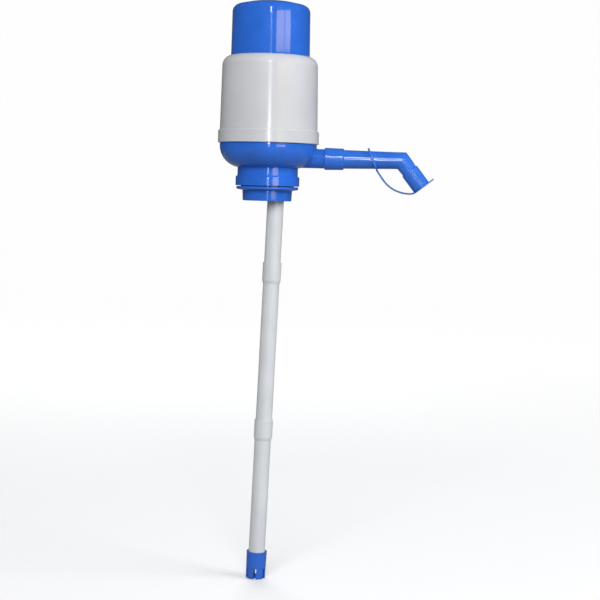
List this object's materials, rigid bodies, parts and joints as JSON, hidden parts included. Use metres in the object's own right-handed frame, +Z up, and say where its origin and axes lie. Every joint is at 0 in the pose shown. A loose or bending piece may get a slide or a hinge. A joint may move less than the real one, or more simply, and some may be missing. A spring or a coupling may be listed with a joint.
{
  "type": "water jug hand pump",
  "caption": "Hand pump for a water jug: push button and bellows in a barrel, swivelling spout with tethered cap, screw adapter for the bottle's neck and a jointed dip tube.",
  "frame": {"origin": "on the pump's axis, at the height of the bottle's rim, on the lower face of the adapter's washer", "axes": "+Z up along the pump's axis, +X along the spout"},
  "size_m": [0.1828, 0.085, 0.4884],
  "materials": {
    "button_blue": "high gloss moulded polypropylene, mid blue",
    "base_blue": "gloss moulded polypropylene, mid blue",
    "spout_blue": "gloss moulded polypropylene, mid blue",
    "adapter_blue": "gloss moulded polypropylene, mid blue",
    "cap_blue": "thin flexible polyethylene, mid blue",
    "casing_white": "semi-gloss moulded polypropylene, pale grey",
    "tube_natural": "natural translucent polypropylene",
    "bellows_natural": "soft blow-moulded polyethylene",
    "spring_steel": "stainless spring wire",
    "silicone": "soft translucent silicone",
    "seal_rubber": "black nitrile rubber"
  },
  "bodies": {
    "base": {"base_bowl": "base_blue", "outer_casing": "casing_white", "bellows_clamp_ring": "casing_white", "spring_plate": "casing_white", "bellows": "bellows_natural", "return_spring": "spring_steel", "spout_seal": "seal_rubber", "dip_tube_upper": "tube_natural", "dip_tube_middle": "tube_natural", "dip_tube_lower": "tube_natural", "inlet_strainer": "base_blue"},
    "plunger": {"button": "button_blue", "plunger_plate": "casing_white"},
    "intake_flap": {"intake_valve": "silicone"},
    "delivery_flap": {"delivery_valve": "silicone"},
    "spout_arm": {"spout": "spout_blue", "cap_ring": "cap_blue", "cap_strap": "cap_blue"},
    "cap": {"spout_cap": "cap_blue"},
    "washer": {"socket_gasket": "silicone"},
    "adapter": {"neck_adapter": "adapter_blue", "adapter_gasket": "silicone"}
  },
  "joints": [
    {"name": "button_press", "type": "slide", "parent": "base", "child": "plunger", "axis": [0, 0, -1], "range_m": [0, 0.036], "stiffness_N_per_m": 400, "springref_m": -0.02, "deforming": ["bellows", "return_spring"]},
    {"name": "intake_lift", "type": "slide", "parent": "plunger", "child": "intake_flap", "axis": [0, 0, -1], "range_m": [0, 0.0008], "stiffness_N_per_m": 20, "springref_m": -0.02},
    {"name": "delivery_lift", "type": "slide", "parent": "base", "child": "delivery_flap", "axis": [0, 0, -1], "range_m": [0, 0.0008], "stiffness_N_per_m": 20, "springref_m": -0.02},
    {"name": "spout_swivel", "type": "hinge", "parent": "base", "child": "spout_arm", "pos_m": [0.0475, 0, 0.024], "axis": [1, 0, 0], "continuous": true},
    {"name": "cap_pull", "type": "slide", "parent": "spout_arm", "child": "cap", "axis": [0.6157, 0, -0.788], "range_m": [0, 0.006], "deforming": ["cap_strap"]},
    {"name": "adapter_drop", "type": "slide", "parent": "base", "child": "washer", "axis": [0, 0, -1], "range_m": [0, 0.0084]},
    {"name": "adapter_turn", "type": "hinge", "parent": "washer", "child": "adapter", "pos_m": [0, 0, 0], "axis": [0, 0, -1], "range_deg": [0, 721]}
  ],
  "couplings": [
    {"joint": "adapter_turn", "follows": "adapter_drop", "rad_per_m": 1496}
  ]
}
